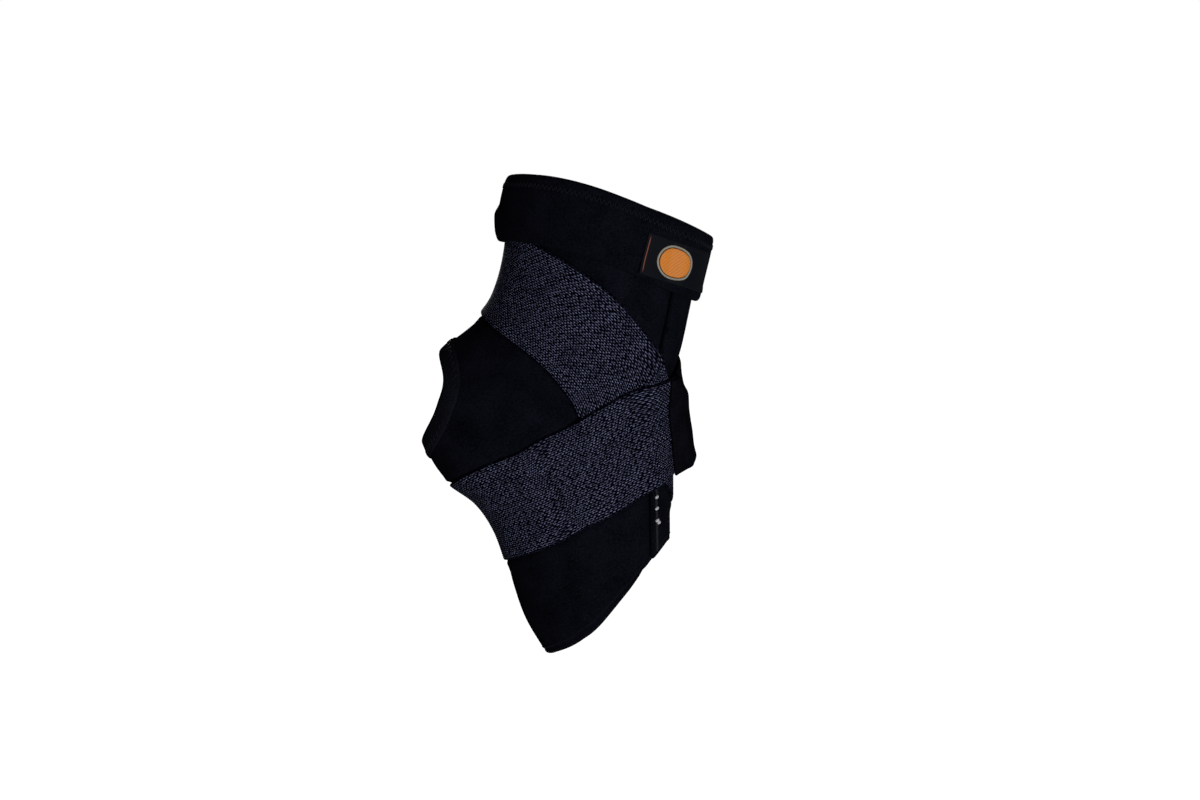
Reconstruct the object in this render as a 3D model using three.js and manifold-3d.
// Ankle brace for a right foot, in the shape that it has when worn with the toes pointed down.
// A neoprene wrap with an open heel laps over itself at the front. A cuff closes its top, two elastic
// straps cross over the instep, and a hook tab ends the outer one.
// Millimetres. +Z is up the leg, +X towards the toes, +Y towards the inner side of the ankle.
// The origin is the middle of the ankle joint, inside the hollow.
import * as THREE from "three";
import { mergeVertices } from "three/addons/utils/BufferGeometryUtils.js";
import Module from "manifold-3d";

const wasm = await Module();
wasm.setup();

// Driving dimensions of the hollow form that the wrap takes round the ankle
const BRACE_HEIGHT = 251; // back of the top rim down to the sole end of the foot edge
const HEEL_TO_INSTEP = 131; // back of the heel to the front of the instep
const ANKLE_WIDTH = 76; // across the two ankle bones, over the neoprene
const RIM_ARCH = 7; // how far the top rim rises at the two sides

// Driving dimensions of the cloth pieces
const LAYER_GAP = 0.7; // clearance between two layers of cloth
const SLEEVE_WALL = 3.8;
const CUFF_HEIGHT = 34.5;
const CUFF_WALL = 3.8;
const STRAP_WIDTH = 51;
const STRAP_WALL = 1.9;
const TAB_LENGTH = 66;
const TAB_WALL = 2.2;
const TAB_CORNER = 9; // radius of the tab's two free corners
const TAB_JOIN = 9; // length of strap that the tab covers
const TAB_FLARE = 20; // how far the tab's lower edge stands off the instep
const HEEL_HOLE_WIDTH = 62; // the open heel, across
const HEEL_HOLE_HEIGHT = 51;
const HEM_WIDTH = 9;
const HEM_WALL = 1;
const LABEL_LENGTH = 38;
const LABEL_HEIGHT = 21;
const LABEL_WALL = 0.9;
const LABEL_TURN = 2; // degrees by which its front end hangs lower
const LABEL_DROP = 9.5; // from the top rim down to the label's upper edge
const EMBLEM_DIAMETER = 17.5;
const EMBLEM_WALL = 0.5;
const EMBLEM_GAP = 0.7;
const EMBLEM_SHIFT = 3.5; // from the label's middle towards the outer side
const EDGE_ROLL = 0.25; // how far a rounded edge stands out, as a share of the wall

// Where the wrap's free edge and the cuff's free end lie, in degrees round the ankle:
// 0 is the front, 90 the outer side, 180 the back or sole and 270 the inner side.
const FULL_TURN = 360;
const WRAP_EDGE = 27; // free edge of the outer layer, just outside the front
const WRAP_START = -34; // edge of the inner layer, hidden under the outer one
const WRAP_RISE = [-92, -56]; // where the outer layer climbs onto the inner one
const WRAP_SKIRT = 15; // over this many degrees, cloth that covers the free edge falls back
const CUFF_START = -62;
const CUFF_END = 322;
const CUFF_RISE = [-78, -68]; // where the cuff's end climbs onto its start

// Slices across the hollow, from above the rim to past the foot edge. Each runs from a back point to a
// front point. back and front are shares of HEEL_TO_INSTEP, backUp and frontUp shares of BRACE_HEIGHT,
// and side, half of the width, a share of ANKLE_WIDTH. heel and toe say how much fuller than an
// ellipse the back half and the front half are.
const SLICES = [
  { back: -0.232, backUp: 0.542, front: 0.515, frontUp: 0.413, side: 0.58, heel: 0.05, toe: 0.05 },
  { back: -0.24, backUp: 0.466, front: 0.497, frontUp: 0.346, side: 0.565, heel: 0.05, toe: 0.05 },
  { back: -0.256, backUp: 0.39, front: 0.458, frontUp: 0.263, side: 0.54, heel: 0.05, toe: 0.05 },
  { back: -0.271, backUp: 0.315, front: 0.427, frontUp: 0.183, side: 0.513, heel: 0.05, toe: 0.05 },
  { back: -0.302, backUp: 0.243, front: 0.397, frontUp: 0.112, side: 0.493, heel: 0.05, toe: 0.05 },
  { back: -0.344, backUp: 0.193, front: 0.362, frontUp: 0.056, side: 0.487, heel: 0.08, toe: 0.05 },
  { back: -0.435, backUp: 0.149, front: 0.35, frontUp: 0.016, side: 0.493, heel: 0.12, toe: 0.05 },
  { back: -0.542, backUp: 0.104, front: 0.345, frontUp: -0.02, side: 0.5, heel: 0.2, toe: 0.05 },
  { back: -0.626, backUp: 0.04, front: 0.347, frontUp: -0.052, side: 0.507, heel: 0.25, toe: 0.05 },
  { back: -0.645, backUp: -0.028, front: 0.351, frontUp: -0.08, side: 0.507, heel: 0.25, toe: 0.05 },
  { back: -0.61, backUp: -0.1, front: 0.351, frontUp: -0.108, side: 0.5, heel: 0.25, toe: 0.05 },
  { back: -0.53, backUp: -0.165, front: 0.353, frontUp: -0.135, side: 0.493, heel: 0.22, toe: 0.05 },
  { back: -0.401, backUp: -0.213, front: 0.353, frontUp: -0.167, side: 0.493, heel: 0.18, toe: 0.05 },
  { back: -0.324, backUp: -0.267, front: 0.353, frontUp: -0.199, side: 0.5, heel: 0.15, toe: 0.05 },
  { back: -0.275, backUp: -0.331, front: 0.353, frontUp: -0.231, side: 0.513, heel: 0.12, toe: 0.05 },
  { back: -0.24, backUp: -0.394, front: 0.352, frontUp: -0.259, side: 0.526, heel: 0.1, toe: 0.05 },
  { back: -0.19, backUp: -0.462, front: 0.351, frontUp: -0.287, side: 0.54, heel: 0.1, toe: 0.05 },
  { back: -0.108, backUp: -0.53, front: 0.347, frontUp: -0.319, side: 0.553, heel: 0.1, toe: 0.05 },
  { back: -0.015, backUp: -0.594, front: 0.344, frontUp: -0.359, side: 0.559, heel: 0.1, toe: 0.05 },
];
const RIM_SLICE = 1;

// The foot edge of the wrap: round the ankle in degrees, and how far down in slices
const FOOT_EDGE = [
  { around: -34, down: 16.3 },
  { around: 0, down: 16.3 },
  { around: 17, down: 16.5 },
  { around: 27, down: 16.82 },
  { around: 38, down: 17.22 },
  { around: 52, down: 17.42 },
  { around: 84, down: 17.54 },
  { around: 104, down: 17.44 },
  { around: 140, down: 17.15 },
  { around: 180, down: 17 },
  { around: 220, down: 17.15 },
  { around: 256, down: 17.3 },
  { around: 300, down: 17.05 },
  { around: 325, down: 16.55 },
  { around: 345, down: 16.3 },
  { around: 362, down: 16.2 },
  { around: 387, down: 16.68 },
];

// Middle lines of the straps: round the ankle in degrees, and how far down in slices
const OUTER_STRAP_ROUTE = [
  { around: 202, down: 12.6 },
  { around: 180, down: 12.6 },
  { around: 136, down: 12.4 },
  { around: 100, down: 11.95 },
  { around: 81, down: 11.4 },
  { around: 60, down: 10.7 },
  { around: 40, down: 9.55 },
  { around: 24, down: 8.5 },
  { around: 8, down: 7.85 },
  { around: -10, down: 7.3 },
  { around: -40, down: 6.2 },
  { around: -68, down: 5.4 },
];
const INNER_STRAP_ROUTE = [
  { around: -148, down: 12.6 },
  { around: -110, down: 12.4 },
  { around: -70, down: 12 },
  { around: -30, down: 10.6 },
  { around: 0, down: 8.95 },
  { around: 15, down: 8.5 },
  { around: 30, down: 7.85 },
  { around: 42, down: 6.75 },
  { around: 55, down: 5.6 },
  { around: 74, down: 4.78 },
  { around: 89, down: 4.36 },
  { around: 105, down: 4.08 },
  { around: 125, down: 3.88 },
  { around: 150, down: 3.68 },
  { around: 180, down: 3.4 },
  { around: 215, down: 2.4 },
  { around: 240, down: 1.5 },
];
const INNER_STRAP_SLANT = 45; // its end is cut to lie along the cuff, in degrees off square

// The hollow form

const sliceLine = (pick) =>
  new THREE.CatmullRomCurve3(SLICES.map((row) => new THREE.Vector3(...pick(row))), false, "catmullrom");
const backLine = sliceLine((row) => [row.back * HEEL_TO_INSTEP, 0, row.backUp * BRACE_HEIGHT]);
const frontLine = sliceLine((row) => [row.front * HEEL_TO_INSTEP, 0, row.frontUp * BRACE_HEIGHT]);
const girthLine = sliceLine((row) => [row.side * ANKLE_WIDTH, row.heel, row.toe]);

// A point of the form, which is the outer face of the wrap's inner layer.
function formPoint(around, down) {
  const angle = THREE.MathUtils.degToRad(around);
  const cos = Math.cos(angle);
  const share = down / (SLICES.length - 1);
  const back = backLine.getPoint(share);
  const front = frontLine.getPoint(share);
  const girth = girthLine.getPoint(share);
  const fullness = 1 + (cos < 0 ? girth.y : girth.z) * cos * cos;
  const point = back.clone().add(front).multiplyScalar(0.5);
  point.addScaledVector(front.sub(back), cos / 2);
  point.y = -girth.x * Math.sin(angle) * fullness;
  return point;
}

const STEP_AROUND = 0.5;
const STEP_DOWN = 0.05;

// The two directions along the form at a place, for each degree and each slice, and the way out of it.
function formFrame({ around, down }) {
  const alongAround = formPoint(around + STEP_AROUND, down)
    .sub(formPoint(around - STEP_AROUND, down))
    .divideScalar(2 * STEP_AROUND);
  const alongDown = formPoint(around, down + STEP_DOWN)
    .sub(formPoint(around, down - STEP_DOWN))
    .divideScalar(2 * STEP_DOWN);
  const out = alongAround.clone().cross(alongDown).normalize();
  return { alongAround, alongDown, out };
}

function liftedPoint(place, lift) {
  return formPoint(place.around, place.down).addScaledVector(formFrame(place).out, lift);
}

// The change of place that moves a point of the form by a small vector.
function placeStep(frame, vector) {
  const { alongAround: a, alongDown: d } = frame;
  const aa = a.dot(a);
  const ad = a.dot(d);
  const dd = d.dot(d);
  const av = a.dot(vector);
  const dv = d.dot(vector);
  const size = aa * dd - ad * ad;
  return { around: (av * dd - dv * ad) / size, down: (dv * aa - av * ad) / size };
}

const WALK_STEP = 3;

// Walks straight ahead over the form, as a tape laid flat on it would.
function walk(start, direction, distance) {
  const place = { ...start };
  const heading = direction.clone();
  const steps = Math.max(1, Math.ceil(Math.abs(distance) / WALK_STEP));
  for (let i = 0; i < steps; i++) {
    const frame = formFrame(place);
    heading.addScaledVector(frame.out, -heading.dot(frame.out)).normalize();
    const move = placeStep(frame, heading.clone().multiplyScalar(distance / steps));
    place.around += move.around;
    place.down += move.down;
  }
  return place;
}

// The place a given length below a start, at the same angle round the ankle.
function placeBelow(around, start, length) {
  const place = { around, down: start };
  const steps = Math.ceil(length / WALK_STEP);
  for (let i = 0; i < steps; i++) place.down += length / steps / formFrame(place).alongDown.length();
  return place;
}

// Heights of the layers above the form

const smooth = (value, from, to) => THREE.MathUtils.smoothstep((value - from) / (to - from), 0, 1);
const SLEEVE_STEP = SLEEVE_WALL + LAYER_GAP;
const STRAP_STEP = STRAP_WALL + LAYER_GAP;
const EDGE_MARGIN = 5; // degrees by which covering cloth clears an edge before it falls

// An angle as one from the start of the wrap's rise up to a turn later.
const turned = (around) => THREE.MathUtils.euclideanModulo(around - WRAP_RISE[0], FULL_TURN) + WRAP_RISE[0];

// The wrap's outermost face, with the fall that covering cloth makes past its free edge.
function sleeveTop(around) {
  const angle = turned(around);
  const fall = WRAP_EDGE + EDGE_MARGIN;
  return SLEEVE_STEP * smooth(angle, ...WRAP_RISE) * (1 - smooth(angle, fall, fall + WRAP_SKIRT));
}

const HEEL_CENTRE = new THREE.Vector3(-0.595 * HEEL_TO_INSTEP, 0, 0.008 * BRACE_HEIGHT);
const HEEL_TILT = 11; // degrees by which the hole's axis points up
const HEEL_SQUARENESS = 2.4; // 2 would make the hole an ellipse
const HEEL_TAPER = 0.1; // how much wider it is above its middle and narrower below

const heelAxis = new THREE.Vector3(-1, 0, 0).applyAxisAngle(
  new THREE.Vector3(0, 1, 0),
  THREE.MathUtils.degToRad(HEEL_TILT),
);
const heelAcross = new THREE.Vector3(0, 1, 0);
const heelUp = heelAcross.clone().cross(heelAxis);

// A point of the hole's outline, at an angle in radians, from the hole's own centre.
function heelOutline(angle) {
  const stretch = (value) => Math.sign(value) * Math.abs(value) ** (2 / HEEL_SQUARENESS);
  return new THREE.Vector2(
    (HEEL_HOLE_WIDTH / 2) * stretch(Math.cos(angle)) * (1 + HEEL_TAPER * stretch(Math.sin(angle))),
    (HEEL_HOLE_HEIGHT / 2) * stretch(Math.sin(angle)),
  );
}

// Straps

const ROUTE_SAMPLES = 240;

// A strap's middle line on the form, as many close stations with their lengths from the start.
function strapLine(route) {
  const curve = new THREE.CatmullRomCurve3(
    route.map((row) => new THREE.Vector3(row.around, row.down, 0)),
    false,
    "catmullrom",
  );
  const stations = [];
  let length = 0;
  for (let i = 0; i <= ROUTE_SAMPLES; i++) {
    const { x: around, y: down } = curve.getPoint(i / ROUTE_SAMPLES);
    const point = formPoint(around, down);
    if (i) length += point.distanceTo(stations[i - 1].point);
    stations.push({ place: { around, down }, point, length });
  }
  return { stations, length };
}

// The place and heading at a length along a strap's middle line.
function stationAt(line, length) {
  const next = line.stations.findIndex((station, i) => i && station.length >= length);
  const after = line.stations[next < 0 ? line.stations.length - 1 : next];
  const before = line.stations[(next < 0 ? line.stations.length - 1 : next) - 1];
  const share = (length - before.length) / (after.length - before.length);
  const place = {
    around: THREE.MathUtils.lerp(before.place.around, after.place.around, share),
    down: THREE.MathUtils.lerp(before.place.down, after.place.down, share),
  };
  const along = after.point.clone().sub(before.point).normalize();
  const side = formFrame(place).out.cross(along).normalize();
  return { place, point: formPoint(place.around, place.down), along, side };
}

const STRAP_MARGIN = 2.5; // by which cloth that covers a strap clears its edge before it falls
const STRAP_FADE = 9;

// How far a strap lies under a point: 1 on the strap, falling to 0 past its edges and its end.
function strapCover({ line, end, slant }, point) {
  let nearest = line.stations[0];
  for (const station of line.stations)
    if (station.point.distanceTo(point) < nearest.point.distanceTo(point)) nearest = station;
  const { point: middle, along, side } = stationAt(line, Math.max(nearest.length, 1));
  const offset = point.clone().sub(middle);
  const beside = offset.dot(side);
  const length = nearest.length + offset.dot(along);
  if (length < 0) return 0;
  const ahead = (length - end - beside * slant) / Math.hypot(1, slant);
  const outside = Math.max(Math.abs(beside) - STRAP_WIDTH / 2, ahead);
  return 1 - smooth(outside, STRAP_MARGIN, STRAP_MARGIN + STRAP_FADE);
}

// Cloth solids

// A sheet of cloth on the form as a closed solid. place(i, j) is the place of a grid point, under and over
// the heights of its two faces there, and roll how far its rounded edges stand out.
// A looped sheet closes on itself along i.
function clothGeometry({ columns, rows, looped, place, under, over, roll }) {
  const points = [];
  const index = [];
  const across = looped ? columns : columns + 1;
  const grid = (face) =>
    Array.from({ length: across }, (_, i) =>
      Array.from({ length: rows + 1 }, (_, j) => {
        const spot = place(i, j);
        return points.push(liftedPoint(spot, face(spot, i, j))) - 1;
      }),
    );
  const outer = grid(over);
  const inner = grid(under);
  const edge = new Map();

  // The rounded middle of the edge beside a border point, made once.
  function edgeMiddle(i, j) {
    const key = i * (rows + 1) + j;
    if (edge.has(key)) return edge.get(key);
    const middle = points[outer[i][j]].clone().add(points[inner[i][j]]).multiplyScalar(0.5);
    const away = new THREE.Vector3();
    const from = (k, l) => {
      const next = points[outer[k][l]].clone().lerp(points[inner[k][l]], 0.5);
      away.add(middle.clone().sub(next).normalize());
    };
    if (j === 0) from(i, 1);
    if (j === rows) from(i, rows - 1);
    if (!looped && i === 0) from(1, j);
    if (!looped && i === columns) from(columns - 1, j);
    edge.set(key, points.push(middle.addScaledVector(away.normalize(), roll)) - 1);
    return edge.get(key);
  }

  const quad = (a, b, c, d) => index.push(a, b, c, a, c, d);
  function wall([i, j], [k, l]) {
    const [a, b] = [outer[i][j], outer[k][l]];
    const [c, d] = [inner[i][j], inner[k][l]];
    const [m, n] = [edgeMiddle(i, j), edgeMiddle(k, l)];
    quad(b, a, m, n);
    quad(n, m, c, d);
  }

  for (let i = 0; i < columns; i++) {
    const k = (i + 1) % across;
    for (let j = 0; j < rows; j++) {
      quad(outer[i][j], outer[k][j], outer[k][j + 1], outer[i][j + 1]);
      quad(inner[i][j], inner[i][j + 1], inner[k][j + 1], inner[k][j]);
    }
    wall([i, 0], [k, 0]);
    wall([k, rows], [i, rows]);
  }
  if (!looped)
    for (let j = 0; j < rows; j++) {
      wall([0, j + 1], [0, j]);
      wall([columns, j], [columns, j + 1]);
    }
  return new THREE.BufferGeometry().setFromPoints(points).setIndex(index);
}

// Joins and cuts with the solid modeller

function toSolid(geometry) {
  const bare = geometry.clone();
  bare.deleteAttribute("normal");
  bare.deleteAttribute("uv");
  const merged = mergeVertices(bare);
  return new wasm.Manifold(
    new wasm.Mesh({
      numProp: 3,
      vertProperties: merged.attributes.position.array,
      triVerts: new Uint32Array(merged.index.array),
    }),
  );
}

function toGeometry(solid) {
  const { vertProperties, triVerts } = solid.getMesh();
  return new THREE.BufferGeometry()
    .setAttribute("position", new THREE.BufferAttribute(vertProperties, 3))
    .setIndex(new THREE.BufferAttribute(triVerts, 1));
}

// The neoprene wrap

const edgeLine = new THREE.CatmullRomCurve3(
  FOOT_EDGE.map((row) => new THREE.Vector3(row.around, row.down, 0)),
  false,
  "centripetal",
);
const footEdgePoints = edgeLine.getPoints(ROUTE_SAMPLES);

function footEdge(around) {
  const next = Math.max(1, footEdgePoints.findIndex((point) => point.x >= around));
  const [before, after] = [footEdgePoints[next - 1], footEdgePoints[next]];
  return THREE.MathUtils.mapLinear(around, before.x, after.x, before.y, after.y);
}

function rimEdge(around) {
  const rise = RIM_ARCH * Math.sin(THREE.MathUtils.degToRad(around)) ** 2;
  return RIM_SLICE - rise / formFrame({ around, down: RIM_SLICE }).alongDown.length();
}

const HEEL_DEPTH = 70; // of the cut through the back of the wrap
const HOLE_SIDES = 48;

function neopreneWrap() {
  const columns = 45;
  const rows = 26;
  const last = WRAP_EDGE + FULL_TURN;
  const rise = ({ around }) => SLEEVE_STEP * smooth(around - FULL_TURN, ...WRAP_RISE);
  const sheet = clothGeometry({
    columns,
    rows,
    looped: false,
    place: (i, j) => {
      const around = THREE.MathUtils.lerp(WRAP_START, last, i / columns);
      return { around, down: THREE.MathUtils.lerp(rimEdge(around), footEdge(around), j / rows) };
    },
    under: (spot) => rise(spot) - SLEEVE_WALL,
    over: rise,
    roll: SLEEVE_WALL * EDGE_ROLL,
  });
  const outline = Array.from({ length: HOLE_SIDES }, (_, i) => heelOutline((2 * Math.PI * i) / HOLE_SIDES));
  const cut = { depth: HEEL_DEPTH, bevelEnabled: false };
  const hole = new THREE.ExtrudeGeometry(new THREE.Shape(outline), cut);
  hole.applyMatrix4(new THREE.Matrix4().makeBasis(heelAcross, heelUp, heelAxis.clone().negate()));
  hole.translate(...HEEL_CENTRE.clone().addScaledVector(heelAxis, HEEL_DEPTH / 2));
  return toGeometry(toSolid(sheet).subtract(toSolid(hole)));
}

// The hem tape sewn round the open heel

const HEEL_START = { around: 180, down: 8.5 }; // a place near the hole's middle
const SEARCH_STEPS = 40;
const SEARCH_EASE = 0.6; // share of each step that is taken, so that the search settles

// The place on the form that lies straight behind a point of the hole's outline.
function heelEdge(angle) {
  const { x, y } = heelOutline(angle);
  const target = HEEL_CENTRE.clone().addScaledVector(heelAcross, x).addScaledVector(heelUp, y);
  const flat = (vector) => vector.clone().addScaledVector(heelAxis, -vector.dot(heelAxis));
  const spot = { ...HEEL_START };
  for (let k = 0; k < SEARCH_STEPS; k++) {
    const frame = formFrame(spot);
    const miss = flat(target.clone().sub(formPoint(spot.around, spot.down)));
    const move = placeStep({ alongAround: flat(frame.alongAround), alongDown: flat(frame.alongDown) }, miss);
    spot.around += SEARCH_EASE * move.around;
    spot.down += SEARCH_EASE * move.down;
  }
  return spot;
}

function heelHem() {
  const columns = 32;
  const rows = 2;
  const edges = Array.from({ length: columns }, (_, i) => heelEdge((2 * Math.PI * i) / columns));
  const point = (spot) => formPoint(spot.around, spot.down);
  return clothGeometry({
    columns,
    rows,
    looped: true,
    place: (i, j) => {
      const tangent = point(edges[(i + 1) % columns]).sub(point(edges[(i + columns - 1) % columns]));
      return walk(edges[i], formFrame(edges[i]).out.cross(tangent), (HEM_WIDTH * j) / rows);
    },
    under: () => LAYER_GAP,
    over: () => LAYER_GAP + HEM_WALL,
    roll: HEM_WALL * EDGE_ROLL,
  });
}

// The elastic straps and the hook tab

const outerLine = strapLine(OUTER_STRAP_ROUTE);
const outerEnd = outerLine.length - TAB_LENGTH + TAB_JOIN;
const innerLine = strapLine(INNER_STRAP_ROUTE);
const innerSlant = Math.tan(THREE.MathUtils.degToRad(INNER_STRAP_SLANT));
const innerLay = {
  line: innerLine,
  end: innerLine.length - (STRAP_WIDTH / 2) * innerSlant,
  slant: innerSlant,
};

// Where a taut strap stands off the hollow above the heel
const BRIDGE = { down: 5.3, reach: 2.2, lift: 1.2 };

const innerUnder = (spot) => {
  const bridge = BRIDGE.lift * (1 - smooth(Math.abs(spot.down - BRIDGE.down), 0, BRIDGE.reach));
  return LAYER_GAP + bridge + sleeveTop(spot.around);
};
const outerUnder = (spot) => {
  const point = formPoint(spot.around, spot.down);
  return innerUnder(spot) + STRAP_STEP * strapCover(innerLay, point);
};

// A strip of a strap's line from one length to another, half as wide as reach(length) says at each.
function strapGeometry({ line, from, to, columns, rows, slant, reach, under, wall }) {
  const spots = new Map();
  function place(i, j) {
    const key = i * (rows + 1) + j;
    if (spots.has(key)) return spots.get(key);
    const length = THREE.MathUtils.lerp(from, to, i / columns);
    const beside = reach(length) * ((2 * j) / rows - 1);
    const station = stationAt(line, length + beside * slant(length));
    const spot = walk(station.place, station.side, beside);
    spots.set(key, spot);
    return spot;
  }
  return clothGeometry({
    columns,
    rows,
    looped: false,
    place,
    under,
    over: (spot, i, j) => under(spot, i, j) + wall,
    roll: wall * EDGE_ROLL,
  });
}

function innerStrap() {
  const { line, end, slant } = innerLay;
  return strapGeometry({
    line,
    from: 0,
    to: end,
    columns: 52,
    rows: 8,
    slant: (length) => slant * smooth(length, end - STRAP_WIDTH, end),
    reach: () => STRAP_WIDTH / 2,
    under: innerUnder,
    wall: STRAP_WALL,
  });
}

function outerStrap() {
  return strapGeometry({
    line: outerLine,
    from: 0,
    to: outerEnd,
    columns: 34,
    rows: 8,
    slant: () => 0,
    reach: () => STRAP_WIDTH / 2,
    under: outerUnder,
    wall: STRAP_WALL,
  });
}

const TAB_FADE = 7;

// Where the tab's flare grows and fades, as shares of its length, and how it fades up its width
const FLARE_GROWS = [0, 0.46];
const FLARE_FADES = [0.48, 0.95];
const FLARE_BEND = 1.2;

function strapTab() {
  const from = outerEnd - TAB_JOIN;
  const columns = 12;
  const rows = 8;
  const joined = (length) => 1 - smooth(length, outerEnd + LAYER_GAP, outerEnd + TAB_FADE);
  const flare = (length, j) => {
    const along = (length - from) / TAB_LENGTH;
    const rise = smooth(along, ...FLARE_GROWS) * (1 - smooth(along, ...FLARE_FADES));
    return TAB_FLARE * rise * (1 - j / rows) ** FLARE_BEND;
  };
  return strapGeometry({
    line: outerLine,
    from,
    to: outerLine.length,
    columns,
    rows,
    slant: () => 0,
    reach: (length) => {
      const past = Math.max(0, length - (outerLine.length - TAB_CORNER));
      return STRAP_WIDTH / 2 - TAB_CORNER + Math.sqrt(TAB_CORNER ** 2 - past ** 2);
    },
    under: (spot, i, j) => {
      const length = THREE.MathUtils.lerp(from, outerLine.length, i / columns);
      return outerUnder(spot) + STRAP_STEP * joined(length) + flare(length, j);
    },
    wall: TAB_WALL,
  });
}

// The cuff, which laps over its own start on the inner side

// Height of the cuff's inner face, over the wrap and the end of the inner strap.
function cuffUnder(spot) {
  const point = formPoint(spot.around, spot.down);
  return LAYER_GAP + sleeveTop(spot.around) + STRAP_STEP * strapCover(innerLay, point);
}

const CUFF_PUFF = 0.55; // thickness of the cuff's two edges, as a share of its wall
const CUFF_FULL = 0.45; // where it has its whole wall, as a share of its height

function topCuff() {
  const columns = 45;
  const rows = 5;
  const place = (i, j) => {
    const around = THREE.MathUtils.lerp(CUFF_START, CUFF_END, i / columns);
    return placeBelow(around, rimEdge(around), (CUFF_HEIGHT * j) / rows);
  };
  const lap = (spot) => (CUFF_WALL + LAYER_GAP) * smooth(spot.around - FULL_TURN, ...CUFF_RISE);
  const under = (spot) => cuffUnder(spot) + lap(spot);
  const thick = (j) => {
    const fromEdge = Math.min(j, rows - j) / rows;
    return CUFF_WALL * THREE.MathUtils.lerp(CUFF_PUFF, 1, Math.min(1, fromEdge / CUFF_FULL));
  };
  return clothGeometry({
    columns,
    rows,
    looped: false,
    place,
    under,
    over: (spot, i, j) => under(spot) + thick(j),
    roll: CUFF_WALL * EDGE_ROLL,
  });
}

// The woven label on the cuff, with its emblem

const LABEL_AROUND = 32; // degrees round the ankle of the label's middle
const labelMiddle = placeBelow(LABEL_AROUND, rimEdge(LABEL_AROUND), LABEL_DROP + LABEL_HEIGHT / 2);
const labelUnder = (spot) => cuffUnder(spot) + CUFF_WALL + LAYER_GAP;

function labelPlace(across, up) {
  const { alongAround, out } = formFrame(labelMiddle);
  const sideways = alongAround.normalize().applyAxisAngle(out, THREE.MathUtils.degToRad(-LABEL_TURN));
  const upward = sideways.clone().cross(out);
  return walk(walk(labelMiddle, sideways, across), upward, up);
}

function wovenLabel() {
  const columns = 6;
  const rows = 3;
  return clothGeometry({
    columns,
    rows,
    looped: false,
    place: (i, j) => labelPlace(LABEL_LENGTH * (i / columns - 0.5), LABEL_HEIGHT * (0.5 - j / rows)),
    under: labelUnder,
    over: (spot) => labelUnder(spot) + LABEL_WALL,
    roll: LABEL_WALL * EDGE_ROLL,
  });
}

function labelEmblem() {
  const columns = 6;
  const rows = 6;
  const radius = EMBLEM_DIAMETER / 2;
  const under = (spot) => labelUnder(spot) + LABEL_WALL + EMBLEM_GAP;
  return clothGeometry({
    columns,
    rows,
    looped: false,
    // A square grid drawn out into a round.
    place: (i, j) => {
      const [across, up] = [(2 * i) / columns - 1, 1 - (2 * j) / rows];
      return labelPlace(
        EMBLEM_SHIFT + radius * across * Math.sqrt(1 - up ** 2 / 2),
        radius * up * Math.sqrt(1 - across ** 2 / 2),
      );
    },
    under,
    over: (spot) => under(spot) + EMBLEM_WALL,
    roll: EMBLEM_WALL * EDGE_ROLL,
  });
}

// The assembly

const plush = { color: 0x0b0c11, roughness: 0.95, metalness: 0 };
const elastic = { color: 0x1e2030, roughness: 0.75, metalness: 0 };
const tape = { color: 0x0c0c10, roughness: 0.8, metalness: 0 };
const woven = { color: 0x1a191d, roughness: 0.7, metalness: 0 };
const thread = { color: 0xd07a2c, roughness: 0.6, metalness: 0 };

const brace = new THREE.Group();
function addPiece(name, geometry, finish) {
  const mesh = new THREE.Mesh(geometry, new THREE.MeshStandardMaterial(finish));
  mesh.name = name;
  brace.add(mesh);
}
addPiece("neoprene_wrap", neopreneWrap(), plush);
addPiece("heel_hem", heelHem(), tape);
addPiece("inner_strap", innerStrap(), elastic);
addPiece("outer_strap", outerStrap(), elastic);
addPiece("strap_tab", strapTab(), tape);
addPiece("top_cuff", topCuff(), plush);
addPiece("label", wovenLabel(), woven);
addPiece("label_emblem", labelEmblem(), thread);

export default brace;
